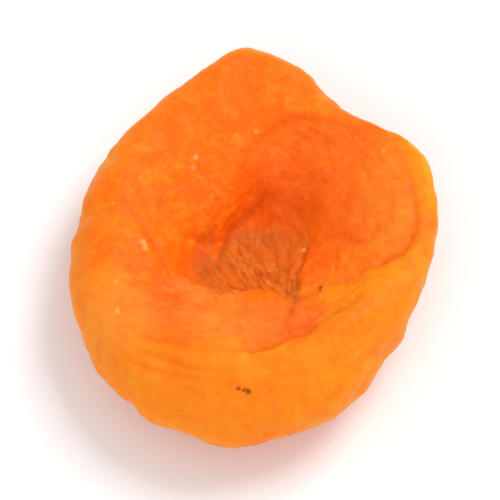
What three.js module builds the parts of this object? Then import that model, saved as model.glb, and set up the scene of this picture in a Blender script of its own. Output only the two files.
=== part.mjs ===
// A dried apricot half as it lies on a table: skin side down, the hollow that the stone left facing up.
// The flesh and the skin dried together as one piece, so it is one closed mesh.
// Millimetres, +Z up. -Y is the near side of the fruit, with its thick rolled rim, and +Y its far tip.

import * as THREE from "three";
import { ImprovedNoise } from "three/addons/math/ImprovedNoise.js";
import { mergeVertices } from "three/addons/utils/BufferGeometryUtils.js";

// Driving dimensions
const WIDTH = 36; // left to right
const LENGTH = 41.5; // near rim to far tip
const HEIGHT = 12.6; // table to the top of the highest stretch of rim
const BED_LENGTH = 11.7; // the stone's bed, from end to end
const BED_WIDTH = 7.2; // the stone's bed, from side to side
const BED_TURN = 0.35; // its long axis, anticlockwise from the right, in radians
const BED_FLOOR = 2.7; // flesh and skin left under the bed
const BED_PLACE = [-0.9, 0.9]; // middle of the bed, from the middle of the fruit
const FLAT_RADIUS = 6.8; // the flat spot that the fruit rests on

// How finely the skin is divided: cells across the face and the underside, and bands over the rim.
const CELLS = 32;
const BANDS = 15;

// The outline from above, as shares of half the width, every 15 degrees anticlockwise from the right.
const OUTLINE = [
  1.01, 1.05, 1.04, 0.935, 0.935, 1.04, 1.14, 1.05, 0.985, 0.96, 0.965, 0.975,
  0.99, 1.03, 1.08, 1.13, 1.175, 1.19, 1.205, 1.165, 1.14, 1.04, 1.02, 1,
];
// The rim, every 30 degrees the same way round: its height as a share of HEIGHT, how far its top
// stands inside the outline in millimetres, and how plump the wall inside it is, from bowl to roll.
const RIM_HEIGHT = [0.83, 0.93, 0.84, 0.9, 0.84, 0.79, 0.78, 0.82, 0.9, 0.97, 1, 0.92];
const RIM_INSET = [1.6, 1.1, 1.5, 2, 2.9, 3.6, 4.1, 4.9, 5.8, 5.9, 5.4, 3.4];
const PLUMPNESS = [0.45, 0.3, 0.3, 0.4, 0.5, 0.6, 0.7, 0.75, 0.7, 0.55, 0.4, 0.45];

// The cut through the fruit, in stations from the middle of the bed to the middle of the flat spot.
// Wall, from the bed up to the rim: share of the way out, then share of the climb as a bowl and as a roll.
const WALL = [[0.22, 0.3, 0.6], [0.48, 0.52, 0.86], [0.76, 0.81, 0.98]];
// Rim, over its top: share of the inset still to go, and how far it has dropped, per inset and in mm.
const RIM = [[0.45, 0.13, 0.18], [0.12, 0.42, 0.45]];
// Belly, down the skin: share of the reach, and of the height of the widest line.
const BELLY = [[1, 1], [0.965, 0.68], [0.88, 0.37], [0.73, 0.15]];
// Height of the widest line by the rim's inset, as a share of the rim's height.
const WIDEST = { thin: 0.8, thick: 0.54, inset: 6.3 };
const BED_SLOPE = [0.15, 0.9]; // how far the bed has risen halfway to its edge, and at its edge
const TABLE_GAP = 0.27; // gap under the skin halfway from the flat spot
const CREST = 6; // station of the rim's top
const FACE_END = 5.3; // station where the face gives way to the bands over the rim
const SIDE_END = 12.7; // station where the bands give way to the underside

// The dried surface: the height of each kind of unevenness and the space it takes, in millimetres.
const LUMPS = { height: 0.5, spacing: 6.3 };
const DIMPLES = { height: 0.2, spacing: 2.7 };
const BED_NET = { height: 0.5, spacing: 2, stations: [1.6, 3.4] };
const PUCKERS = { height: 0.45, count: 5, stations: 2.5 }; // radial folds, by direction
const ON_FACE = [8, 9.5]; // stations over which the creases of the face die out
const OFF_TABLE = [11.6, 13]; // stations over which the skin smooths out towards the flat spot

// Creases of the face, each a line through points [x, y], with its width and depth in millimetres and
// how far the flesh swells on the left of it, seen along the line, or on the right where it is negative.
const CREASES = [
  // where the near rim folds over the flesh
  {
    line: [[-3.6, -13.9], [0.4, -13.7], [3.2, -12.4], [6.1, -10.7], [8.5, -9.2], [10.8, -6.5]],
    width: 1.1, depth: 0.8, swell: -0.5,
  },
  // the cut edge, from the near right round the right-hand lobe
  {
    line: [[6.1, -7.7], [8.6, -6.3], [10.8, -5], [14.4, -3.1], [16.4, 0.4], [16.2, 5.4], [14.4, 9.9]],
    width: 1, depth: 0.6, swell: -0.4,
  },
  // the left wall hanging over the bed
  { line: [[-2.5, 0.4], [-1.4, 2.7], [-0.2, 4.9], [1.3, 7.9]], width: 1.2, depth: 1, swell: 1 },
  // the skin puckering below the near right rim
  { line: [[8.5, -15.3], [11.3, -13.3], [13.9, -10.8]], width: 1, depth: 0.6, swell: 0.2 },
  // the pinch at the near right end of the bed
  { line: [[4, -5.8], [3.6, -4], [3.1, -2.2]], width: 1, depth: 0.8, swell: 0 },
];
const CREASE_STEPS = 40;

const noise = new ImprovedNoise();

function lerp(from, to, share) {
  return from + (to - from) * share;
}

// A smooth curve between b and c, at a share of the way, that runs on from a and towards d.
function curve(a, b, c, d, share) {
  const start = (c - a) / 2;
  const end = (d - b) / 2;
  const bend = 2 * (b - c) + start + end;
  const lean = 3 * (c - b) - 2 * start - end;
  return ((bend * share + lean) * share + start) * share + b;
}

// A smooth closed run through values spaced evenly round the fruit.
function around(values, angle) {
  const count = values.length;
  const place = (angle / (2 * Math.PI) + 1) * count;
  const before = Math.floor(place);
  const at = (step) => values[(before + step) % count];
  return curve(at(-1), at(0), at(1), at(2), place - before);
}

// Distance from the middle of the stone's bed to its edge.
function bedReach(angle) {
  const across = Math.cos(angle - BED_TURN) / (BED_LENGTH / 2);
  const along = Math.sin(angle - BED_TURN) / (BED_WIDTH / 2);
  return 1 / Math.hypot(across, along);
}

// The cut through the fruit in one direction, as stations [distance from the middle, height].
function section(angle) {
  const reach = (around(OUTLINE, angle) * WIDTH) / 2;
  const top = around(RIM_HEIGHT, angle) * HEIGHT;
  const inset = around(RIM_INSET, angle);
  const plump = around(PLUMPNESS, angle);
  const bed = bedReach(angle);
  const widest = top * lerp(WIDEST.thin, WIDEST.thick, inset / WIDEST.inset);
  const belly = BELLY.map(([out, up]) => [reach * out, widest * up]);
  const [foot] = belly[belly.length - 1];
  return [
    [0, BED_FLOOR],
    [bed / 2, BED_FLOOR + BED_SLOPE[0]],
    [bed, BED_FLOOR + BED_SLOPE[1]],
    ...WALL.map(([out, bowl, roll]) => [
      lerp(bed, reach - inset, out),
      lerp(BED_FLOOR, top, lerp(bowl, roll, plump)),
    ]),
    [reach - inset, top],
    ...RIM.map(([left, perInset, drop]) => [reach - inset * left, top - inset * perInset - drop]),
    ...belly,
    [(foot + FLAT_RADIUS) / 2, TABLE_GAP],
    [FLAT_RADIUS, 0],
    [0, 0],
  ];
}

// The point of the bare form at a station in one direction.
function formPoint(angle, station) {
  const cut = section(angle);
  const last = cut.length - 1;
  const before = Math.min(Math.floor(station), last - 1);
  const at = (step) => {
    const index = before + step;
    if (index < 0) return [-cut[1][0], cut[1][1]];
    if (index > last) return [-cut[last - 1][0], 0];
    return cut[index];
  };
  const stops = [at(-1), at(0), at(1), at(2)];
  const [out, up] = [0, 1].map((axis) => curve(...stops.map((stop) => stop[axis]), station - before));
  const drift = 1 - THREE.MathUtils.smoothstep(station, 0, CREST);
  return new THREE.Vector3(
    Math.cos(angle) * out + BED_PLACE[0] * drift,
    Math.sin(angle) * out + BED_PLACE[1] * drift,
    Math.max(up, 0),
  );
}

// A cube's skin drawn over the fruit: its top becomes the face, its sides the rim and its base the underside.
function bareForm() {
  const geometry = new THREE.BoxGeometry(2, 2, 2, CELLS, CELLS, BANDS);
  const position = geometry.getAttribute("position");
  const underside = section(0).length - 1;
  const stations = [];
  for (let i = 0; i < position.count; i++) {
    const [x, y, z] = [position.getX(i), position.getY(i), position.getZ(i)];
    const across = x * Math.sqrt(1 - (y * y) / 2);
    const along = y * Math.sqrt(1 - (x * x) / 2);
    const share = Math.hypot(across, along);
    const onSide = Math.max(Math.abs(x), Math.abs(y)) > 1 - 1e-6;
    let station = lerp(FACE_END, SIDE_END, (1 - z) / 2);
    if (!onSide) station = z > 0 ? FACE_END * share : lerp(underside, SIDE_END, share);
    stations.push(station);
    position.setXYZ(i, ...formPoint(Math.atan2(along, across), station));
  }
  geometry.setAttribute("station", new THREE.Float32BufferAttribute(stations, 1));
  geometry.deleteAttribute("normal");
  geometry.deleteAttribute("uv");
  return mergeVertices(geometry, 1e-4);
}

// How far one crease lowers or raises the face at [x, y]: a groove, with the flesh swollen on one side of it.
function creaseRelief({ steps, width, depth, swell }, x, y) {
  const gaps = steps.map((step) => Math.hypot(step.x - x, step.y - y));
  const gap = Math.min(...gaps);
  const index = gaps.indexOf(gap);
  const [before, after] = [steps[Math.max(index - 1, 0)], steps[Math.min(index + 1, CREASE_STEPS)]];
  const turn = (after.x - before.x) * (y - steps[index].y) - (after.y - before.y) * (x - steps[index].x);
  const towardSwell = turn * swell > 0 ? gap : -gap;
  const fade = Math.sqrt(Math.sin((Math.PI * (index + 0.5)) / steps.length));
  const groove = Math.exp(-((gap / width) ** 2));
  const shoulder = Math.exp(-2 * (towardSwell / width / 2 - 1) ** 2);
  return fade * (shoulder * Math.abs(swell) - groove * depth);
}

// How far the dried surface stands proud of the bare form there.
function relief(point, station, creases) {
  const { x, y, z } = point;
  const { smoothstep } = THREE.MathUtils;
  const angle = Math.atan2(y - BED_PLACE[1], x - BED_PLACE[0]);
  const bumps = ({ height, spacing }, seed) => {
    return height * noise.noise(x / spacing + seed, y / spacing, z / spacing);
  };
  const puckerAt = [Math.cos(angle) * PUCKERS.count, Math.sin(angle) * PUCKERS.count];
  const fold = noise.noise(...puckerAt, station / PUCKERS.stations);
  const net = noise.noise(x / BED_NET.spacing, y / BED_NET.spacing, 0.5);
  const skin = bumps(LUMPS, 3) + bumps(DIMPLES, 5) - PUCKERS.height * Math.abs(fold);
  const creased = creases.reduce((sum, crease) => sum + creaseRelief(crease, x, y), 0);
  return (
    skin * (1 - smoothstep(station, ...OFF_TABLE)) +
    creased * (1 - smoothstep(station, ...ON_FACE)) -
    BED_NET.height * Math.abs(net) * (1 - smoothstep(station, ...BED_NET.stations))
  );
}

// Pushes each point of the bare form in or out along its own normal, and keeps it off the table.
function wrinkle(geometry) {
  const creases = CREASES.map(({ line, ...shape }) => {
    const points = line.map(([x, y]) => new THREE.Vector2(x, y));
    return { ...shape, steps: new THREE.SplineCurve(points).getSpacedPoints(CREASE_STEPS) };
  });
  geometry.computeVertexNormals();
  const position = geometry.getAttribute("position");
  const normal = geometry.getAttribute("normal");
  const station = geometry.getAttribute("station");
  for (let i = 0; i < position.count; i++) {
    const point = new THREE.Vector3().fromBufferAttribute(position, i);
    if (point.z === 0) continue;
    const outward = new THREE.Vector3().fromBufferAttribute(normal, i);
    point.addScaledVector(outward, relief(point, station.getX(i), creases));
    position.setXYZ(i, point.x, point.y, Math.max(point.z, 0));
  }
}

// Brings the fruit to its full size, with the middle of its base at the origin.
function settle(geometry) {
  geometry.computeBoundingBox();
  const size = geometry.boundingBox.getSize(new THREE.Vector3());
  const middle = geometry.boundingBox.getCenter(new THREE.Vector3());
  geometry.translate(-middle.x, -middle.y, 0);
  geometry.scale(WIDTH / size.x, LENGTH / size.y, HEIGHT / size.z);
  geometry.computeVertexNormals();
}

function apricotHalf() {
  const geometry = bareForm();
  wrinkle(geometry);
  settle(geometry);
  geometry.deleteAttribute("station");
  const flesh = new THREE.MeshStandardMaterial({ color: 0xfb7a22, roughness: 0.45, metalness: 0 });
  const mesh = new THREE.Mesh(geometry, flesh);
  mesh.name = "apricot_half";
  return mesh;
}

const apricot = new THREE.Group();
apricot.add(apricotHalf());

export default apricot;
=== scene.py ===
# A dried apricot half on a pale table: skin side down, with the hollow that the stone left facing up.
# Metres, +Z up. -Y is the near side, with its thick rolled rim, and +Y the far tip.
import math

import bpy
import numpy as np
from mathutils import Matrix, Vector, kdtree, noise
from mathutils.bvhtree import BVHTree


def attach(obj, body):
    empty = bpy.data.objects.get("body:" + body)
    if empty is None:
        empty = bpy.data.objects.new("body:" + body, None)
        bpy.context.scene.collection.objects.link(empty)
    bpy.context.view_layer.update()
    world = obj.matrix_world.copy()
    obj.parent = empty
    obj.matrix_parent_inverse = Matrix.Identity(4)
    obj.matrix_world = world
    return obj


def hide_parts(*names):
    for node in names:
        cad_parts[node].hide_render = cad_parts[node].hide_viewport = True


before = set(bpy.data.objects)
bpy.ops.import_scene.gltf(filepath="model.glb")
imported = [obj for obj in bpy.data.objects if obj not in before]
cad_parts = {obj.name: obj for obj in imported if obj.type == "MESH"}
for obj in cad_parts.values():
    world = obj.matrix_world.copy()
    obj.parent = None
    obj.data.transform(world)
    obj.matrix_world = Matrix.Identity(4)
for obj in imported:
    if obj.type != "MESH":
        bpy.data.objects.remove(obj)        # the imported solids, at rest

print("frame loaded")
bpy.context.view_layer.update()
mm = 0.001


# Camera and light

view = {
    "elevation": 62,                # degrees above the table
    "distance": 0.5,
    "field": 0.0488,                # what the picture's width takes in, at the fruit
    "aim": (-0.0003, 0.0002, 0.0056),
}


def toward(start, end):
    return (Vector(end) - Vector(start)).to_track_quat("-Z", "Y").to_euler()


def addCamera():
    tilt = math.radians(view["elevation"])
    aim = Vector(view["aim"])
    place = aim + view["distance"] * Vector((0, -math.cos(tilt), math.sin(tilt)))
    bpy.ops.object.camera_add(location=place, rotation=toward(place, aim))
    camera = bpy.context.object
    camera.data.lens = camera.data.sensor_width * view["distance"] / view["field"]
    camera.data.clip_start = 0.01
    bpy.context.scene.camera = camera


studio = {
    "skyStrength": 0.68,
    "lamps": [  # place, size and watts: a big window up on the right, and a soft fill from the near side
        {"name": "window", "place": (0.3, 0.24, 0.52), "size": 0.3, "power": 2.2},
        {"name": "fill", "place": (-0.16, -0.5, 0.42), "size": 0.5, "power": 1.15},
    ],
    "floorSize": 3,
    "floorColor": (0.93, 0.925, 0.92, 1),
    "floorRoughness": 0.7,
    "floorGloss": 0.2,
}


def addStudio():
    world = bpy.data.worlds.new("studio")
    world.use_nodes = True
    sky = world.node_tree.nodes["Background"]
    sky.inputs["Color"].default_value = (1, 1, 1, 1)
    sky.inputs["Strength"].default_value = studio["skyStrength"]
    bpy.context.scene.world = world
    bpy.context.scene.view_settings.view_transform = "Standard"
    for lamp in studio["lamps"]:
        bpy.ops.object.light_add(
            type="AREA", location=lamp["place"], rotation=toward(lamp["place"], (0, 0, 0))
        )
        light = bpy.context.object
        light.name = lamp["name"]
        light.data.size = lamp["size"]
        light.data.energy = lamp["power"]
    bpy.ops.mesh.primitive_plane_add(size=studio["floorSize"])
    floor = bpy.context.object
    floor.name = "floor"
    paper = bpy.data.materials.new("paper")
    paper.use_nodes = True
    shader = paper.node_tree.nodes["Principled BSDF"]
    shader.inputs["Base Color"].default_value = studio["floorColor"]
    shader.inputs["Roughness"].default_value = studio["floorRoughness"]
    shader.inputs["Specular IOR Level"].default_value = studio["floorGloss"]
    floor.data.materials.append(paper)


addCamera()
addStudio()
print("camera and studio ready")


# The fruit's shape

fruit = {
    "refine": 2,                   # times that each cell of the plain form is split
    "refineNear": 0.9,             # cells this near a crease, in millimetres, are split once more
    "rimBins": 72,                 # directions in which the rim's reach is measured
    "rimSoft": 1.2,                # how softly the face ends at the rim, in millimetres
    "faceTilt": (-0.15, 0.2),      # how far up the surface looks where the face begins
    "bedMiddle": (-0.5, 0.4),      # the middle of the stone's bed, in millimetres
    "pleatsFrom": (3.5, -10),      # the bed's pleats spread out from here
    "fibresFrom": (3, 7),          # distances from the bed over which the fibres set in
    "lowSkin": (3.5, 7),           # heights over which the skin gets smoother
    "farSkin": (-0.3, 0.1),        # the same for the side that looks away
    "rimWrinkles": 0.2,            # how much of the fine wrinkles stays along the rim
    "smoothNear": (-0.75, 0.1),    # from the near side, where none stays, to the sides
    "sides": {"spacing": 0.9, "seed": 40, "strong": (-0.35, 0.5)},   # the skin folds more on some sides
    "highFolds": 0.4,              # how much of the folds stays high up
    "valleys": (0.05, -0.14),      # heights of the wrinkles over which painted shade deepens their colour
    "toneEdge": {"share": 0.15, "spacing": 2.4, "seed": 30},         # how uneven a patch's edge is
    "floorGap": 0.25,              # heights over which the wrinkles fade out at the table
    "offTable": 2.2,
    "thinTo": (0.8, 4),            # from thin flesh to thick, in millimetres
    "nearBulge": {"height": 0.4, "middle": (-2.4, -20, 5), "spread": 4},
    "rumpled": {"middle": (-4.2, -5), "half": (6.5, 3), "turn": 0, "soft": 0.5},
}

# Bumps and wrinkles: how deep and how far apart, in millimetres, and where each pattern of noise begins.
relief = {
    "swell": {"depth": 0.17, "spacing": 3.2, "seed": 1},            # soft unevenness all over
    "pebble": {"depth": 0.05, "spacing": 1.2, "seed": 2},
    "netCoarse": {"depth": 0.13, "spacing": 2.9, "seed": 3},        # the dried net on the flesh
    "netFine": {"depth": 0.04, "spacing": 1.1, "seed": 4},
    "fibres": {"depth": 0.09, "spacing": 1.3, "seed": 5},           # drawn out from the bed to the rim
    "pleats": {"depth": 0.21, "spacing": 1.2, "seed": 7},           # the papery pleats of the bed
    "pleatsFine": {"depth": 0.12, "spacing": 0.6, "seed": 8},
    "skinFolds": {"depth": 0.15, "spacing": 2.6, "seed": 11},       # folds that run down the skin
    "skinCreping": {"depth": 0.24, "spacing": 1.7, "seed": 17},     # fine ones, low down and on the far side
    "skinCrepingFine": {"depth": 0.1, "spacing": 0.8, "seed": 19},
    "bandLines": {"depth": 0.09, "spacing": 1.1, "seed": 15},       # faint lines along the rim
    "rumples": {"depth": 0.18, "spacing": 1.1, "seed": 21},         # crumpled flesh on the bed's near side
}

# How far a pattern is drawn out: its size round the fruit, and what each millimetre along and up counts.
drawn = {
    "fibres": {"round": 12, "along": 0.35},
    "pleats": {"round": 9, "along": 0.25, "up": 0.3},
    "folds": {"round": 18, "up": 0.4},
    "creping": (0.7, 0.7, 1.6),    # times as much as the folds
    "bands": {"round": 5},
}

# Where the flesh gives way to the skin, anticlockwise: x, y and how soft the change is, in millimetres.
skinEdge = [
    (-16.6, 2, 3), (-15.8, -5, 3), (-13.4, -9.8, 2.6), (-9.5, -12.4, 2), (-5.5, -13.6, 1.2),
    (-2.4, -13.8, 0.7), (0.4, -13.3, 0.4), (2.2, -13.1, 0.3), (3.8, -12.1, 0.3), (5.3, -11.3, 0.3),
    (6.2, -9, 0.7), (6.4, -6.3, 0.6), (7.4, -5.5, 0.3), (8.6, -5.4, 0.3), (9.7, -4.7, 0.3),
    (11.4, -3.6, 0.3), (13.2, -3, 0.3), (14.5, -2.9, 0.4), (15.5, -2.2, 0.4), (16.3, 0, 0.5),
    (16.1, 3.1, 0.6), (15.3, 6.1, 0.7), (14.4, 8.9, 0.8), (12.6, 11.4, 1), (9, 13.8, 1),
    (5.2, 17.6, 1.2), (1, 19.6, 1.5), (-3, 19.2, 2), (-7.6, 16.6, 3), (-11.6, 12.1, 3), (-14.6, 7.4, 3),
]

# The papery bed that the stone left, in the same way.
bedEdge = [
    (-2.9, 1.9, 1), (-3.7, 0.9, 1.2), (-4.7, 0.9, 1.6), (-5.6, -0.3, 2), (-6, -2.4, 2.6), (-5, -4.6, 2.8),
    (-3.2, -5.3, 2.6), (-1.2, -5.1, 2.4), (0.4, -4.3, 2.4), (1.9, -4.8, 2.2), (3.1, -6.2, 1.8), (4.2, -7, 1),
    (4.6, -3.8, 1), (4.8, -1.4, 1.2), (5.1, 0.6, 1.6), (5.3, 2.2, 2), (3.6, 3.4, 2.2), (1.6, 4.1, 2),
    (-0.4, 4.2, 1.6), (-2.1, 3.4, 1.2),
]

# Creases of the face: points in millimetres, then width, depth, the lift of the flesh on the left, and how
# much painted shade darkens the groove.
creases = {
    "rimFold": {
        "points": [(-3.6, -13.9), (-1, -13.6), (1, -13.4), (2.2, -13.1), (3.6, -12.1), (5.2, -11.5),
                   (6.4, -10.3), (7.9, -9.5), (9.4, -8.7), (10.6, -7.4)],
        "width": 0.32, "depth": 0.26, "lift": -0.16, "dark": 0.5,
    },
    "rimFoldInner": {
        "points": [(2.4, -11.8), (3.6, -11.2), (5.2, -10.4), (6.6, -8.9), (7.6, -8.0)],
        "width": 0.3, "depth": 0.14, "lift": 0.08, "dark": 0.25,
    },
    "cutEdge": {
        "points": [(6.6, -6), (7.3, -5.6), (8.4, -5.4), (10.4, -4.1), (12.6, -3.1), (14.4, -2.2),
                   (15.2, -1.1), (15.7, 1.2), (15.7, 3), (15.4, 4.8), (14.9, 6.3)],
        "width": 0.28, "depth": 0.17, "lift": -0.09, "dark": 0.35,
    },
    "lobeInner": {
        "points": [(13.3, 6), (13.5, 3.9), (13.2, 1.6), (12.2, -0.3)],
        "width": 0.4, "depth": 0.12, "lift": 0.06, "dark": 0.2,
    },
    "lobeMiddle": {
        "points": [(12.1, 2.4), (11.8, 0.8), (11.0, -0.3), (9.9, -1.0)],
        "width": 0.4, "depth": 0.16, "lift": 0.08, "dark": 0.25,
    },
    "rightSlope": {
        "points": [(8, 0.2), (8.1, -1.4), (7.8, -3.8)],
        "width": 0.32, "depth": 0.14, "lift": 0.08, "dark": 0.3,
    },
    "rightSlopeOuter": {
        "points": [(9.7, -0.4), (9.3, -2), (8.5, -3.9)],
        "width": 0.32, "depth": 0.14, "lift": 0.08, "dark": 0.28,
    },
    "rightFold": {
        "points": [(6.8, 2.2), (8.2, 1.4), (9.8, 0.4), (11.2, -0.4)],
        "width": 0.7, "depth": 0.2, "lift": -0.1, "dark": 0.5,
    },
    "leftWall": {
        "points": [(1.8, 7.1), (0.5, 6.5), (-0.8, 5.3), (-1.9, 4.2), (-2.5, 2.9), (-2.9, 1.9), (-3.1, 0.8),
                   (-2.9, -0.2)],
        "width": 0.42, "depth": 0.24, "lift": -0.08, "dark": 0.85,
    },
    "leftFlap": {
        "points": [(-3.6, 5.5), (-3.4, 4.3), (-4.2, 3.1), (-5.5, 1.3), (-5.8, -1)],
        "width": 0.4, "depth": 0.12, "lift": -0.12, "dark": 0.16,
    },
    "leftFlapTop": {
        "points": [(-6.1, 8.3), (-4.9, 7.5), (-3.6, 6.8), (-2.4, 6.1), (-1.2, 6.1)],
        "width": 0.45, "depth": 0.14, "lift": -0.1, "dark": 0.22,
    },
    "leftShort": {
        "points": [(-9, 6.3), (-8.8, 4.8), (-9.3, 2.3)],
        "width": 0.4, "depth": 0.1, "lift": 0.06, "dark": 0.16,
    },
    "bedLeft": {
        "points": [(-5.5, 1.6), (-4.6, 0.7), (-3.4, -0.3), (-2.2, -1.9)],
        "width": 0.3, "depth": 0.16, "lift": 0.08, "dark": 0.25,
    },
    "bedLeftInner": {
        "points": [(-3, 2.6), (-2.7, 1.2), (-1.8, -0.7), (-0.7, -2.7), (0.4, -3.8)],
        "width": 0.32, "depth": 0.15, "lift": 0.08, "dark": 0.48,
    },
    "bedNear": {
        "points": [(-6.3, -3.2), (-5.2, -3.5), (-4, -3.1), (-2.6, -2.6), (-1.8, -3.2), (-0.8, -4.1)],
        "width": 0.4, "depth": 0.15, "lift": 0.05, "dark": 0.2,
    },
    "bedMiddle": {
        "points": [(-1.2, -1.6), (0.2, -1.2), (1, -1.2), (2, -2.3), (2.7, -3.9), (3.5, -5.5), (4.1, -6.6)],
        "width": 0.34, "depth": 0.2, "lift": 0.06, "dark": 0.35,
    },
    "bedRight": {
        "points": [(6.2, 2.2), (5.4, 1.4), (4.9, 0.4), (4.6, -1.6), (4.4, -3.6), (4.2, -5.4), (3.9, -6.8)],
        "width": 0.34, "depth": 0.22, "lift": 0.12, "dark": 0.24,
    },
    "pinch": {
        "points": [(4.0, -6.8), (4.7, -6.4), (5.6, -5.9), (6.6, -5.7)],
        "width": 0.35, "depth": 0.25, "lift": 0.08, "dark": 0.4,
    },
    "pinchNear": {
        "points": [(4.1, -6.6), (3.6, -8.3), (3.2, -10), (2.9, -11.6)],
        "width": 0.5, "depth": 0.2, "lift": 0.06, "dark": 0.45,
    },
    "nearOuter": {
        "points": [(-14.2, -10.7), (-12.6, -12.8), (-10.4, -14.6), (-6.1, -16.2), (-1.3, -16.8)],
        "width": 0.35, "depth": 0.1, "lift": 0.05, "dark": 0.22,
    },
    "nearMiddle": {
        "points": [(-13.2, -10.9), (-11.2, -12.8), (-9.1, -13.9), (-5.5, -15.4), (-2.0, -15.9)],
        "width": 0.35, "depth": 0.12, "lift": 0.06, "dark": 0.28,
    },
    "nearInner": {
        "points": [(-12.9, -9.4), (-10.7, -11.5), (-8.1, -12.7), (-5.1, -13.7), (-2.2, -14)],
        "width": 0.35, "depth": 0.1, "lift": 0.06, "dark": 0.22,
    },
    "lip": {
        "points": [(16.2, -5), (15.9, -7.4), (15.1, -9.5), (13.7, -11.4), (12.1, -12.8), (10.5, -13.7),
                   (9.8, -15), (9.5, -16)],
        "width": 0.35, "depth": 0.16, "lift": -0.1, "dark": 0.35,
    },
    "lipFold": {
        "points": [(8.9, -15.4), (9.9, -14.4), (11.4, -13.1), (12.9, -12), (14, -10.9)],
        "width": 0.4, "depth": 0.16, "lift": -0.1, "dark": 0.3,
    },
    "cavityTop": {
        "points": [(-0.9, 6.6), (-0.8, 7.4), (-0.8, 8.3), (-0.4, 9.7), (1, 10.9), (2.6, 12.2), (4.7, 12.8),
                   (6.7, 12.3), (8.5, 11.7), (10.2, 10.6)],
        "width": 0.45, "depth": 0.2, "lift": 0.15, "dark": 0.25,
    },
    "cavityInner": {
        "points": [(1.8, 6.8), (2.3, 7.4), (3.4, 8.9), (4, 10.3), (4.7, 11.5)],
        "width": 0.45, "depth": 0.12, "lift": 0.08, "dark": 0.22,
    },
    "cavityRight": {
        "points": [(6.4, 11.3), (7.4, 9.6), (6.9, 7.3)],
        "width": 0.45, "depth": 0.12, "lift": 0.08, "dark": 0.2,
    },
    "leftStep": {
        "points": [(-12.8, 3.6), (-11.9, 2.7), (-10.8, 1.1), (-9.5, -0.5), (-8.9, -1.9), (-8.3, -3.6)],
        "width": 0.5, "depth": 0.2, "lift": -0.16, "dark": 0.32,
    },
    "flapMiddle": {
        "points": [(-0.4, -5.6), (-0.6, -7.2), (-1, -8.8)],
        "width": 0.5, "depth": 0.1, "lift": 0.05, "dark": 0.2,
    },
}

# Patches where the colour is made deeper or paler: the middle and half size of each patch, in millimetres,
# how far it is turned, how soft its edge is, its colour and how strong it is. Some are painted shade or
# painted light, as said above each.
tones = {
    # partly the far wall's own thicker, redder flesh, and partly painted shade and light bounced about the
    # hollow
    "farWallFleshAndShade": {"middle": (6.2, 6), "half": (7.6, 7.2), "turn": 0.3, "soft": 0.3,
                "color": (0.98, 0.15, 0.008, 1), "share": 0.7},
    "leftStrip": {"middle": (-6.3, -1.3), "half": (1.9, 3.9), "turn": -0.35, "soft": 0.6,
                  "color": (0.8, 0.118, 0.003, 1), "share": 0.7},
    # painted shade: darkens the foot of the left wall, whose facet faces up to the sky light
    "wallFootShade": {"middle": (-4.2, 0.8), "half": (1.6, 2.6), "turn": -0.5, "soft": 0.6,
                 "color": (0.7, 0.105, 0.004, 1), "share": 0.7},
    "leftSlope": {"middle": (-8.5, -6.6), "half": (3, 3.4), "turn": 0.4, "soft": 0.6,
                  "color": (0.9, 0.11, 0.001, 1), "share": 0.88},
    "rightStrip": {"middle": (6.4, -1.4), "half": (2.3, 3.8), "turn": 0, "soft": 0.5,
                   "color": (0.9, 0.12, 0.006, 1), "share": 0.7},
    "pinchSide": {"middle": (3.3, -9.4), "half": (2.9, 3), "turn": 0, "soft": 0.5,
                  "color": (0.88, 0.1, 0, 1), "share": 0.86},
    # painted shade: the hollow is made deeper and darker red, standing in for shade and light bounced about
    # it
    "cavityShade": {"middle": (3.1, 4.2), "half": (4.4, 3.8), "turn": 0.1, "soft": 0.6,
               "color": (0.8, 0.127, 0.002, 1), "share": 0.9},
    "nearFlap": {"middle": (-0.7, -9.2), "half": (6.6, 2.8), "turn": 0, "soft": 0.5,
                 "color": (0.96, 0.245, 0.037, 1), "share": 0.5},
    "leftLow": {"middle": (-13, -9.2), "half": (3.6, 4), "turn": 0, "soft": 0.6,
                "color": (0.98, 0.32, 0.035, 1), "share": 0.65},
    "lobe": {"middle": (13.2, 3.4), "half": (3, 5.5), "turn": 0, "soft": 0.6,
             "color": (0.98, 0.27, 0.028, 1), "share": 0.5},
    # painted light: a paler yellow rim on the lobe's edge, as if lit through from behind
    "lobeRimBacklight": {"middle": (17, 8), "half": (1.8, 5), "turn": 0.15, "soft": 0.5,
                "color": (0.97, 0.4, 0.012, 1), "share": 0.45},
    "bedSide": {"middle": (-4.9, -4.9), "half": (3.4, 1.5), "turn": 0, "soft": 0.6,
                "color": (0.95, 0.32, 0.07, 1), "share": 0.4},
}


def smoothStep(low, high, values):
    share = np.clip((values - low) / (high - low), 0, 1)
    return share * share * (3 - 2 * share)


def noiseAt(points, spacing, seed):
    shift = Vector((seed, seed * 1.7, seed * 0.6))
    return np.array([noise.noise(Vector(point) / spacing + shift) for point in points])


def ridgesAt(points, spacing, seed):
    # Sharp valleys between round tops, from 0 in a valley to 1 on a top.
    warp = np.stack([noiseAt(points, spacing * 1.6, seed + step) for step in (5, 9, 13)], axis=1)
    return np.clip(np.abs(noiseAt(points + warp * spacing * 0.5, spacing, seed)) * 2.4, 0, 1)


def smoothLine(points, closed=False, step=0.12):
    # A smooth curve through the points, as places close together.
    points = [np.array(point, dtype=float) for point in points]
    if closed:
        ends = [points[-1], *points, points[0], points[1]]
    else:
        ends = [2 * points[0] - points[1], *points, 2 * points[-1] - points[-2]]
    run = []
    for a, b, c, d in zip(ends, ends[1:], ends[2:], ends[3:]):
        count = max(int(np.linalg.norm(c - b) / step), 1)
        for share in np.arange(count) / count:
            run.append(
                0.5 * ((2 * b) + (c - a) * share + (2 * a - 5 * b + 4 * c - d) * share**2
                       + (3 * b - a - 3 * c + d) * share**3)
            )
    return np.array(run)


def flatTree(places):
    # Finds the nearest of many places, seen from above.
    tree = kdtree.KDTree(len(places))
    for index, place in enumerate(places):
        tree.insert((place[0], place[1], 0), index)
    tree.balance()
    return tree


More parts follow.
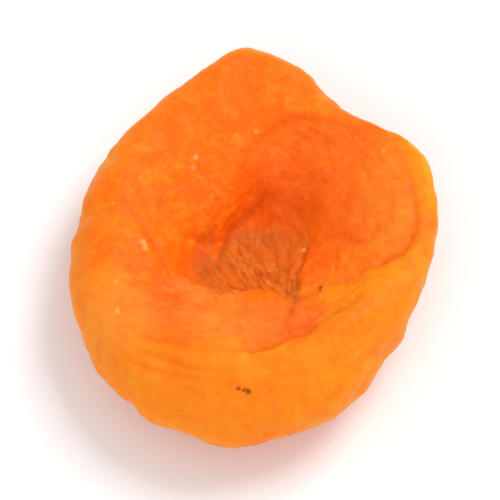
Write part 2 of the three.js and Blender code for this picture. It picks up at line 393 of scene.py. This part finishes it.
def alongCrease(crease, flat):
    # For each place: the gap to the crease, positive on its left, and how much of the crease is there,
    # because it fades towards its ends.
    line = smoothLine(crease["points"])
    tree = flatTree(line)
    reach = 5 * crease["width"]
    gaps = np.full(len(flat), reach)
    fades = np.zeros(len(flat))
    low, high = line.min(axis=0) - reach, line.max(axis=0) + reach
    near = np.nonzero(((flat > low) & (flat < high)).all(axis=1))[0]
    for vertex in near:
        spot, index, gap = tree.find((*flat[vertex], 0))
        before, after = line[max(index - 1, 0)], line[min(index + 1, len(line) - 1)]
        along, out = after - before, flat[vertex] - line[index]
        gaps[vertex] = math.copysign(gap, along[0] * out[1] - along[1] * out[0])
        fades[vertex] = math.sin(math.pi * (index + 0.5) / len(line)) ** 0.5
    return gaps, fades


def creaseAll(flat):
    # How far all the creases move the face, and how much painted shade they lay on it: a groove with a round
    # shoulder on one side of it, and a line of painted shade a little narrower than the groove.
    height = np.zeros(len(flat))
    dark = np.zeros(len(flat))
    for crease in creases.values():
        gaps, fades = alongCrease(crease, flat)
        width, lift = crease["width"], crease["lift"]
        groove = np.exp(-(gaps / width) ** 2)
        toLift = gaps * math.copysign(1, lift)
        shoulder = np.exp(-0.6 * (toLift / width - 2) ** 2)
        height += fades * (abs(lift) * shoulder - crease["depth"] * groove)
        dark = np.maximum(dark, crease["dark"] * fades * np.exp(-(gaps / width / 0.8) ** 2))
    return height, dark


def outside(edge, flat):
    # 0 inside a closed edge and 1 outside it, seen from above.
    line = smoothLine(edge, closed=True, step=0.3)
    tree = flatTree(line)
    share = np.zeros(len(flat))
    for vertex, place in enumerate(flat):
        spot, index, gap = tree.find((*place, 0))
        after = line[(index + 1) % len(line)][:2] - line[index - 1][:2]
        out = place - line[index][:2]
        side = 1 if after[0] * out[1] < after[1] * out[0] else -1
        share[vertex] = side * gap / line[index][2]
    return smoothStep(-0.5, 0.5, share)


def toneAt(tone, places):
    # 1 in the middle of a patch, down to 0 outside it, with an uneven edge.
    turn = tone["turn"]
    out = places[:, :2] - tone["middle"]
    across = (out[:, 0] * math.cos(turn) + out[:, 1] * math.sin(turn)) / tone["half"][0]
    along = (out[:, 1] * math.cos(turn) - out[:, 0] * math.sin(turn)) / tone["half"][1]
    edge = fruit["toneEdge"]
    far = np.hypot(across, along) + edge["share"] * noiseAt(places, edge["spacing"], edge["seed"])
    return 1 - smoothStep(1 - tone["soft"], 1 + tone["soft"], far)


def saveAttribute(mesh, name, values):
    layer = mesh.attributes.new(name, "FLOAT", "POINT")
    layer.data.foreach_set("value", np.ascontiguousarray(values, dtype=np.float32))


def readVectors(collection, name):
    values = np.empty(len(collection) * 3)
    collection.foreach_get(name, values)
    return values.reshape(-1, 3)


def plainForm():
    # The fruit's plain form as a smooth quad mesh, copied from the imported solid.
    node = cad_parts["apricot_half"]
    bpy.ops.object.select_all(action="DESELECT")
    piece = node.copy()
    piece.data = node.data.copy()
    piece.name = "dried_apricot_half"
    piece.parent = None
    bpy.context.collection.objects.link(piece)
    piece.select_set(True)
    bpy.context.view_layer.objects.active = piece
    bpy.ops.object.mode_set(mode="EDIT")
    bpy.ops.mesh.select_all(action="SELECT")
    bpy.ops.mesh.remove_doubles(threshold=1e-6)
    bpy.ops.mesh.tris_convert_to_quads(face_threshold=math.pi, shape_threshold=math.pi)
    bpy.ops.object.mode_set(mode="OBJECT")
    bpy.ops.object.shade_smooth()
    finer = piece.modifiers.new("finer", "SUBSURF")
    finer.levels = finer.render_levels = fruit["refine"]
    bpy.ops.object.modifier_apply(modifier=finer.name)
    splitNearCreases(piece)
    return piece


def splitNearCreases(piece):
    # Smaller cells along the creases and in the bed, where the wrinkles are fine.
    tree = flatTree([place for crease in creases.values() for place in smoothLine(crease["points"])])
    faces = piece.data.polygons
    middles = readVectors(faces, "center") / mm
    normals = readVectors(faces, "normal")
    gaps = np.array([tree.find((x, y, 0))[2] for x, y, z in middles])
    fine = (gaps < fruit["refineNear"]) | (outside(bedEdge, middles[:, :2]) < 1)
    chosen = fine & (normals[:, 2] > 0)
    bpy.ops.object.mode_set(mode="EDIT")
    bpy.ops.mesh.select_mode(type="FACE")
    bpy.ops.mesh.select_all(action="DESELECT")
    bpy.ops.object.mode_set(mode="OBJECT")
    faces.foreach_set("select", chosen)
    bpy.ops.object.mode_set(mode="EDIT")
    bpy.ops.mesh.subdivide(number_cuts=1, ngon=False, quadcorner="INNERVERT")
    bpy.ops.object.mode_set(mode="OBJECT")


def rimReach(flat, height):
    # How far out the rim's top stands in each direction, for every place.
    angle = np.arctan2(flat[:, 1], flat[:, 0])
    reach = np.linalg.norm(flat, axis=1)
    bins = fruit["rimBins"]
    slot = ((angle / (2 * math.pi) + 1) * bins).astype(int) % bins
    tops = np.array([reach[slot == index][np.argmax(height[slot == index])] for index in range(bins)])
    spread = np.array([0.1, 0.2, 0.4, 0.2, 0.1])
    tops = sum(share * np.roll(tops, shift) for share, shift in zip(spread, range(-2, 3)))
    place = (angle / (2 * math.pi) + 1) * bins - 0.5
    before = np.floor(place).astype(int)
    share = place - before
    return reach, tops[before % bins] * (1 - share) + tops[(before + 1) % bins] * share


def around(angle, radius, third):
    # Places on a drum, so that a pattern runs round the fruit without a break.
    return np.stack([np.cos(angle) * radius, np.sin(angle) * radius, third], axis=1)


def bumps(name, where):
    return relief[name]["depth"] * noiseAt(where, relief[name]["spacing"], relief[name]["seed"])


def ridges(name, where):
    return relief[name]["depth"] * (ridgesAt(where, relief[name]["spacing"], relief[name]["seed"]) - 0.5)


def wrinkle(piece):
    # Lifts every point of the plain form along its normal, and saves where the material changes.
    mesh = piece.data
    places = readVectors(mesh.vertices, "co") / mm
    normals = readVectors(mesh.vertices, "normal")
    flat = places[:, :2]
    heights = places[:, 2]
    reach, rim = rimReach(flat, heights)
    upper = smoothStep(*fruit["faceTilt"], normals[:, 2])
    face = smoothStep(-fruit["rimSoft"], fruit["rimSoft"], rim - reach) * upper
    skin = np.maximum(outside(skinEdge, flat), 1 - upper)
    bed = face * (1 - outside(bedEdge, flat))
    lift = bumps("swell", places) + bumps("pebble", places)
    lift += face * (ridges("netCoarse", places) + ridges("netFine", places))
    out = flat - fruit["bedMiddle"]
    fromBed = np.linalg.norm(out, axis=1)
    turned = np.arctan2(out[:, 1], out[:, 0])
    fibres = around(turned, drawn["fibres"]["round"], fromBed * drawn["fibres"]["along"])
    lift += face * ridges("fibres", fibres) * smoothStep(*fruit["fibresFrom"], fromBed)

    # pleats of the bed, which spread like a fan
    out = flat - fruit["pleatsFrom"]
    fan = np.stack([
        np.arctan2(out[:, 0], out[:, 1]) * drawn["pleats"]["round"],
        np.linalg.norm(out, axis=1) * drawn["pleats"]["along"],
        heights * drawn["pleats"]["up"],
    ], axis=1)
    lift += bed * (ridges("pleats", fan) + ridges("pleatsFine", fan))
    lift += face * toneAt(fruit["rumpled"], places) * ridges("rumples", places)

    # folds that run down the skin, stronger on some sides than on others, and lines that run along the rim
    angle = np.arctan2(flat[:, 1], flat[:, 0])
    folds = around(angle, drawn["folds"]["round"], heights * drawn["folds"]["up"])
    sides = fruit["sides"]
    side = smoothStep(*sides["strong"], noiseAt(around(angle, 1, angle * 0), sides["spacing"], sides["seed"]))
    low = 1 - smoothStep(*fruit["lowSkin"], heights)
    low = np.maximum(low, 1 - smoothStep(*fruit["farSkin"], normals[:, 2] - 0.5 * normals[:, 1]))
    away = np.maximum(fruit["rimWrinkles"] * smoothStep(*fruit["smoothNear"], np.sin(angle)), low)
    high = fruit["highFolds"]
    strength = skin * side * (1 + away) * (high + (1 - high) * low)
    valleys = ridges("skinCreping", folds * drawn["creping"]) + ridges("skinCrepingFine", places)
    lift += ridges("skinFolds", folds) * strength + skin * away * valleys
    lift += ridges("bandLines", around(angle, drawn["bands"]["round"], reach + heights))

    bulge = fruit["nearBulge"]
    fromBulge = np.linalg.norm(places - bulge["middle"], axis=1)
    lift += bulge["height"] * np.exp(-(fromBulge / bulge["spread"]) ** 2)
    creased, dark = creaseAll(flat)
    lift += creased * upper
    lift *= smoothStep(fruit["floorGap"], fruit["offTable"], heights)
    moved = places + normals * lift[:, None]
    moved[:, 2] = np.maximum(moved[:, 2], 0)
    mesh.vertices.foreach_set("co", (moved * mm).ravel())
    mesh.update()
    saveAttribute(mesh, "bed", bed)
    saveAttribute(mesh, "skin", skin)
    # painted shade along the creases
    saveAttribute(mesh, "crease", dark * upper)
    # painted shade in the valleys of the skin's wrinkles
    saveAttribute(mesh, "valley", skin * away * smoothStep(*fruit["valleys"], valleys))
    for name, tone in tones.items():
        saveAttribute(mesh, name, toneAt(tone, places) * upper)
    mesh.attributes.new("fan", "FLOAT_VECTOR", "POINT").data.foreach_set("vector", (fan * mm).ravel())
    # where the flesh is thin, for the painted light shining through it
    saveAttribute(mesh, "thin", thinness(piece))
    return piece


def thinness(piece):
    # 1 where little flesh lies under the surface, down to 0 where it is thick.
    tree = BVHTree.FromObject(piece, bpy.context.evaluated_depsgraph_get())
    places = readVectors(piece.data.vertices, "co")
    normals = readVectors(piece.data.vertices, "normal")
    thin, far = fruit["thinTo"][0] * mm, fruit["thinTo"][1] * mm
    depths = np.full(len(places), far)
    for vertex, (place, normal) in enumerate(zip(places, normals)):
        hit = tree.ray_cast(Vector(place - normal * 0.05 * mm), Vector(-normal), far)
        if hit[0] is not None:
            depths[vertex] = hit[3]
    return 1 - smoothStep(thin, far, depths)


# The fruit's material

flesh = {
    "fleshColor": (0.93, 0.176, 0.003, 1),
    "skinColor": (0.93, 0.248, 0.004, 1),
    # painted light shining through thin flesh
    "thinBacklitColor": (0.96, 0.36, 0.012, 1),
    "bedColor": (0.68, 0.145, 0.008, 1),
    "bedBrown": (0.56, 0.112, 0.008, 1),
    "fibreColor": (0.84, 0.28, 0.06, 1),
    # painted shade along the creases, on the flesh and in the bed
    "creaseShade": (0.67, 0.09, 0.004, 1),
    "bedCreaseShade": (0.5, 0.08, 0.004, 1),
    # painted shade in the valleys of the skin's wrinkles
    "valleyShadeColor": (0.84, 0.13, 0.003, 1),
    "darkMottle": (0.94, 0.14, 0.002, 1),
    "paleMottle": (0.96, 0.33, 0.015, 1),
    # pale specks, some of them painted highlights
    "paleSpeckAndHighlight": (1, 0.55, 0.2, 1),
    "darkSpeck": (0.26, 0.026, 0.001, 1),
    "thinBacklitShare": 0.7,
    "valleyShadeShare": 0.6,
    "mottles": [(5.5, 0.45), (1.3, 0.38), (0.5, 0.2)],   # how far apart, in millimetres, and how strong
    "cavityCalm": 0.32,              # taken off the second of these in the cavity
    "bedShare": 0.7,
    "bedPatches": {"spacing": 2.6, "detail": 4, "warp": 0.8, "edge": (0.32, 0.68), "share": 0.7},
    "bedFibres": {"spacing": 1.1, "width": 0.045, "warp": 0.1, "share": 0.35},
    "ragged": {"spacing": 0.35, "amount": 0.5},
    "paleShare": 0.45,
    "paleBlur": 0.6,
    "darkShare": 0.85,
    "darkBlur": 0.5,
    "creping": {"spacing": 1.5, "width": 0.1, "warp": 0.9, "share": 0.5},
    "pores": {"spacing": 0.45, "detail": 4, "warp": 0.4},
    "bumpStrength": 0.35,
    "bumpDepth": 0.12 * mm,
    "roughness": 0.46,
    "bedRoughness": 0.65,
    "gloss": 0.12,
    "glow": 0.8,                     # how much of the light goes through the flesh
    "glowReach": 0.001,
    "glowRadius": (1, 0.33, 0.1),
}

# Specks on the surface, in millimetres: x, y, z and radius. Of the pale ones, the four on the left slope,
# from x = -13.3 to -10.4 and y = -8.7 to -0.5, are painted highlights, and the rest are pale marks.
paleSpecksAndHighlights = [
    (-13.3, -5.3, 9.6, 0.22), (-13, -8.7, 9.8, 0.25), (-10.6, -0.5, 8.6, 0.36), (-10.4, -1.1, 8.6, 0.32),
    (-5.6, 9.2, 8.1, 0.22), (-5.8, 8.2, 7.8, 0.28), (0.3, 11.8, 8.5, 0.2), (12.8, 8.7, 10, 0.25),
    (5, 1.2, 3.8, 0.22), (4.6, 1.1, 3.7, 0.16), (-13.6, 3.4, 9.2, 0.16), (9, 12.2, 10, 0.18),
]
darkSpecks = [
    (-0.5, -17.9, 11, 0.28), (-0.9, -17.75, 11, 0.2), (-1.4, -17.5, 11, 0.22), (6.5, -5.1, 8.3, 0.2),
    (6.55, -5.5, 8.5, 0.22), (6.5, -5.85, 8.6, 0.14),
]


def addNode(material, kind, **values):
    node = material.node_tree.nodes.new(kind)
    for name, value in values.items():
        setattr(node, name, value)
    return node


def plug(material, socket, value):
    if isinstance(value, bpy.types.NodeSocket):
        material.node_tree.links.new(value, socket)
    else:
        socket.default_value = value


def mixColors(material, share, first, second):
    mix = addNode(material, "ShaderNodeMix", data_type="RGBA")
    plug(material, mix.inputs["Factor"], share)
    plug(material, mix.inputs[6], first)
    plug(material, mix.inputs[7], second)
    return mix.outputs[2]


def calculate(material, operation, first, second=0.0):
    result = addNode(material, "ShaderNodeMath", operation=operation)
    plug(material, result.inputs[0], first)
    plug(material, result.inputs[1], second)
    return result.outputs[0]


def tint(material, color, over, where, share=1.0):
    # Lays another colour over a colour.
    return mixColors(material, calculate(material, "MULTIPLY", where, share), color, over)


def fadeBetween(material, value, low, high):
    fade = addNode(material, "ShaderNodeMapRange", interpolation_type="SMOOTHSTEP")
    plug(material, fade.inputs["Value"], value)
    fade.inputs["From Min"].default_value = low
    fade.inputs["From Max"].default_value = high
    return fade.outputs["Result"]


def readAttribute(material, name):
    return addNode(material, "ShaderNodeAttribute", attribute_name=name).outputs["Fac"]


def grain(material, place, spacing, detail=3.0, warp=0.0):
    # A cloudy pattern whose marks are about that many millimetres apart.
    clouds = addNode(material, "ShaderNodeTexNoise")
    plug(material, clouds.inputs["Vector"], place)
    clouds.inputs["Scale"].default_value = 1 / (spacing * mm)
    clouds.inputs["Detail"].default_value = detail
    clouds.inputs["Distortion"].default_value = warp
    return clouds.outputs["Fac"]


def thinLines(material, place, spacing, width, warp=0.6):
    # 1 along thin winding lines, like fibres.
    lines = grain(material, place, spacing, 2, warp)
    fromMiddle = calculate(material, "ABSOLUTE", calculate(material, "SUBTRACT", lines, 0.5))
    return fadeBetween(material, fromMiddle, width, 0)


def ragged(material, place, spacing, amount):
    # The place, pushed about a little, so that what is drawn by it gets a ragged edge.
    clouds = addNode(material, "ShaderNodeTexNoise")
    plug(material, clouds.inputs["Vector"], place)
    clouds.inputs["Scale"].default_value = 1 / (spacing * mm)
    push = addNode(material, "ShaderNodeVectorMath", operation="MULTIPLY_ADD")
    plug(material, push.inputs[0], clouds.outputs["Color"])
    push.inputs[1].default_value = [amount * mm] * 3
    push.inputs[2].default_value = [-amount * mm / 2] * 3
    moved = addNode(material, "ShaderNodeVectorMath", operation="ADD")
    plug(material, moved.inputs[0], place)
    plug(material, moved.inputs[1], push.outputs["Vector"])
    return moved.outputs["Vector"]


def specksAt(material, place, specks, blur):
    # 1 inside any of the specks.
    found = 0.0
    for x, y, z, radius in specks:
        gap = addNode(material, "ShaderNodeVectorMath", operation="DISTANCE")
        plug(material, gap.inputs[0], place)
        gap.inputs[1].default_value = (x * mm, y * mm, z * mm)
        outer, inner = radius * (1 + blur) * mm, radius * (1 - blur) * mm
        near = fadeBetween(material, gap.outputs["Value"], outer, inner)
        found = calculate(material, "MAXIMUM", near, found)
    return found


def mottle(material, place, color, spacing, strength):
    # Darker and paler clouds over a colour.
    clouds = grain(material, place, spacing, 3, 0.5)
    color = tint(material, color, flesh["darkMottle"], fadeBetween(material, clouds, 0.5, 0.72), strength)
    return tint(material, color, flesh["paleMottle"], fadeBetween(material, clouds, 0.5, 0.28), strength)


def fleshMaterial():
    material = bpy.data.materials.new("apricot_flesh")
    material.use_nodes = True
    shader = material.node_tree.nodes["Principled BSDF"]
    place = addNode(material, "ShaderNodeTexCoord").outputs["Object"]
    skin, bed = readAttribute(material, "skin"), readAttribute(material, "bed")

    color = mixColors(material, skin, flesh["fleshColor"], flesh["skinColor"])
    # painted light: thin flesh is made paler and yellower, as if lit through from behind
    color = tint(material, color, flesh["thinBacklitColor"], readAttribute(material, "thin"), flesh["thinBacklitShare"])
    large, middle, small = flesh["mottles"]
    color = mottle(material, place, color, *large)
    # patches of deeper or paler colour, some of them painted shade or painted light
    for name, tone in tones.items():
        color = tint(material, color, tone["color"], readAttribute(material, name), tone["share"])
    # less of the middle mottle where the painted shade of the hollow lies
    calm = calculate(material, "MULTIPLY", readAttribute(material, "cavityShade"), flesh["cavityCalm"])
    color = mottle(material, place, color, middle[0], calculate(material, "SUBTRACT", middle[1], calm))
    color = mottle(material, place, color, *small)

    # the papery bed, with brown patches and pale fibres
    color = tint(material, color, flesh["bedColor"], bed, flesh["bedShare"])
    values = flesh["bedPatches"]
    clouds = grain(material, place, values["spacing"], values["detail"], values["warp"])
    patches = calculate(material, "MULTIPLY", fadeBetween(material, clouds, *values["edge"]), bed)
    color = tint(material, color, flesh["bedBrown"], patches, values["share"])
    values = flesh["bedFibres"]
    fan = addNode(material, "ShaderNodeAttribute", attribute_name="fan").outputs["Vector"]
    lines = thinLines(material, fan, values["spacing"], values["width"], values["warp"])
    fibres = calculate(material, "MULTIPLY", lines, bed)
    color = tint(material, color, flesh["fibreColor"], fibres, values["share"])

    # wrinkles, creases and specks, with painted shade in the wrinkles' valleys and along the creases, and
    # pale specks of which some are painted highlights
    valley = readAttribute(material, "valley")
    color = tint(material, color, flesh["valleyShadeColor"], valley, flesh["valleyShadeShare"])
    # painted shade along the creases
    creaseShade = mixColors(material, bed, flesh["creaseShade"], flesh["bedCreaseShade"])
    color = mixColors(material, readAttribute(material, "crease"), color, creaseShade)
    uneven = ragged(material, place, flesh["ragged"]["spacing"], flesh["ragged"]["amount"])
    # pale specks, some of them painted highlights
    found = specksAt(material, uneven, paleSpecksAndHighlights, flesh["paleBlur"])
    color = tint(material, color, flesh["paleSpeckAndHighlight"], found, flesh["paleShare"])
    found = specksAt(material, uneven, darkSpecks, flesh["darkBlur"])
    color = tint(material, color, flesh["darkSpeck"], found, flesh["darkShare"])
    plug(material, shader.inputs["Base Color"], color)

    # pores and the finest wrinkles
    values = flesh["creping"]
    creping = thinLines(material, place, values["spacing"], values["width"], values["warp"])
    creping = calculate(material, "MULTIPLY", creping, values["share"])
    values = flesh["pores"]
    pores = grain(material, place, values["spacing"], values["detail"], values["warp"])
    bump = addNode(material, "ShaderNodeBump")
    bump.inputs["Strength"].default_value = flesh["bumpStrength"]
    bump.inputs["Distance"].default_value = flesh["bumpDepth"]
    plug(material, bump.inputs["Height"], calculate(material, "SUBTRACT", pores, creping))
    plug(material, shader.inputs["Normal"], bump.outputs["Normal"])
    rough = addNode(material, "ShaderNodeMapRange")
    plug(material, rough.inputs["Value"], bed)
    rough.inputs["To Min"].default_value = flesh["roughness"]
    rough.inputs["To Max"].default_value = flesh["bedRoughness"]
    plug(material, shader.inputs["Roughness"], rough.outputs["Result"])
    shader.inputs["Specular IOR Level"].default_value = flesh["gloss"]
    shader.inputs["Subsurface Weight"].default_value = flesh["glow"]
    shader.inputs["Subsurface Scale"].default_value = flesh["glowReach"]
    shader.inputs["Subsurface Radius"].default_value = flesh["glowRadius"]
    return material


half = wrinkle(plainForm())
half.data.materials.clear()
half.data.materials.append(fleshMaterial())
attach(half, "root")
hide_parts("apricot_half")
print("fruit:", len(half.data.vertices), "points,", len(half.data.polygons), "faces")
